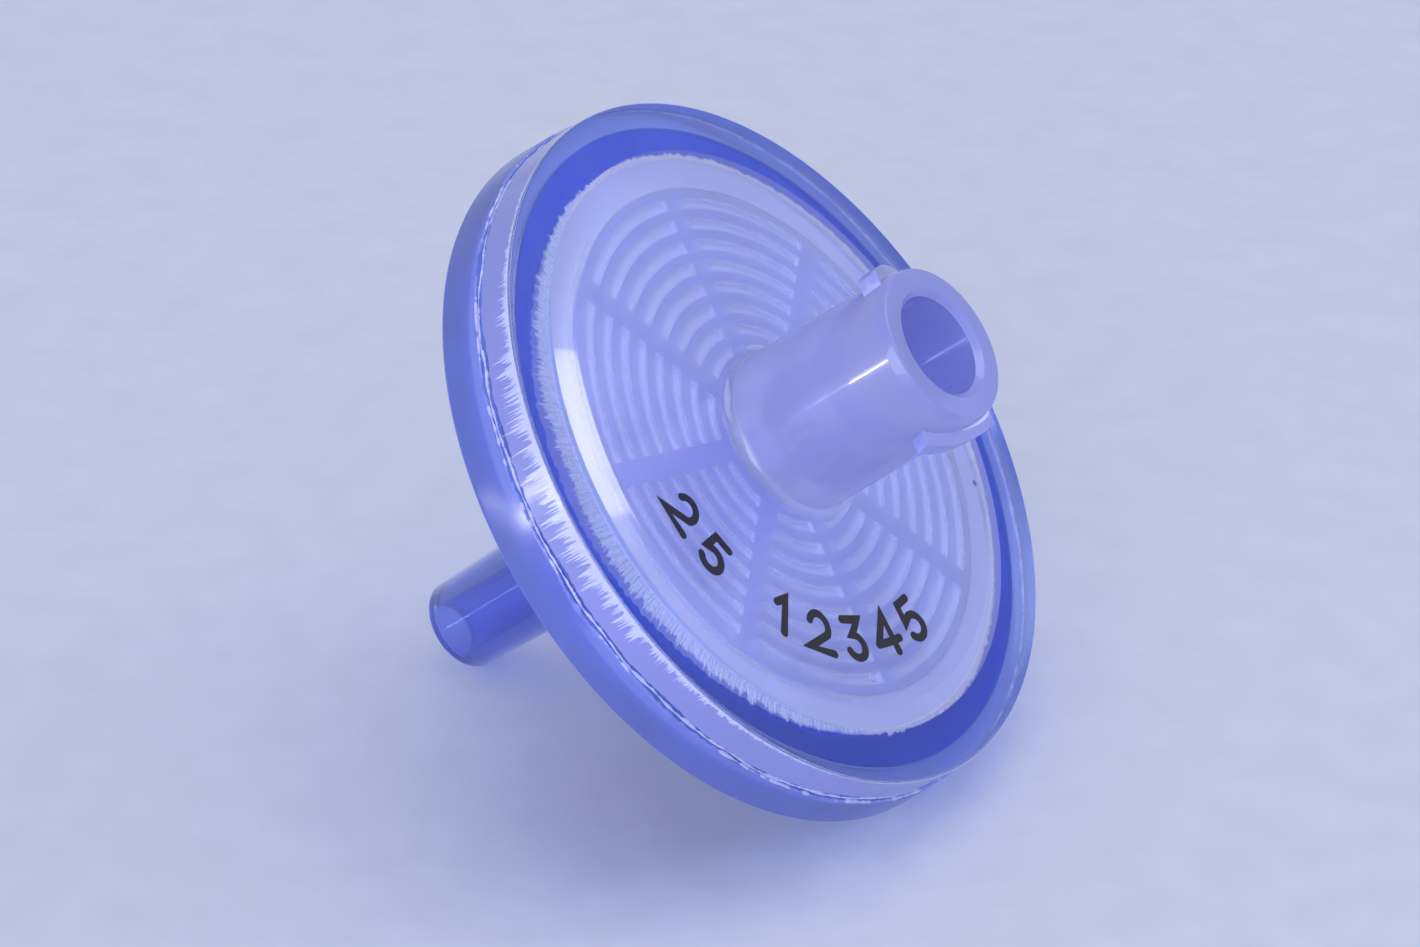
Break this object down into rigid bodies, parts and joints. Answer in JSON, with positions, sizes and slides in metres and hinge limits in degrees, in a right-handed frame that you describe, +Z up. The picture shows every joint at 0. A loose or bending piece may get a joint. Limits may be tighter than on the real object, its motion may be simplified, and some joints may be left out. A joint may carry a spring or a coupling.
{
  "type": "syringe filter",
  "caption": "Disc-shaped syringe filter: welded clear plastic halves round a thin membrane, with a Luer-lock inlet socket and a Luer slip outlet nozzle.",
  "frame": {"origin": "on the table, under the middle of the box round the lying filter", "axes": "+Z up, +Y across the rim, +X towards the raised inlet socket; the filter's own axis leans in the XZ plane"},
  "size_m": [0.0258, 0.0308, 0.0255],
  "materials": {
    "inlet_housing": "translucent milky moulded polypropylene, glossy",
    "filter_membrane": "matt white porous film",
    "outlet_housing": "translucent clear moulded polypropylene, glossy"
  },
  "bodies": {
    "root": {"inlet_housing": "inlet_housing", "filter_membrane": "filter_membrane", "outlet_housing": "outlet_housing"}
  },
  "joints": []
}
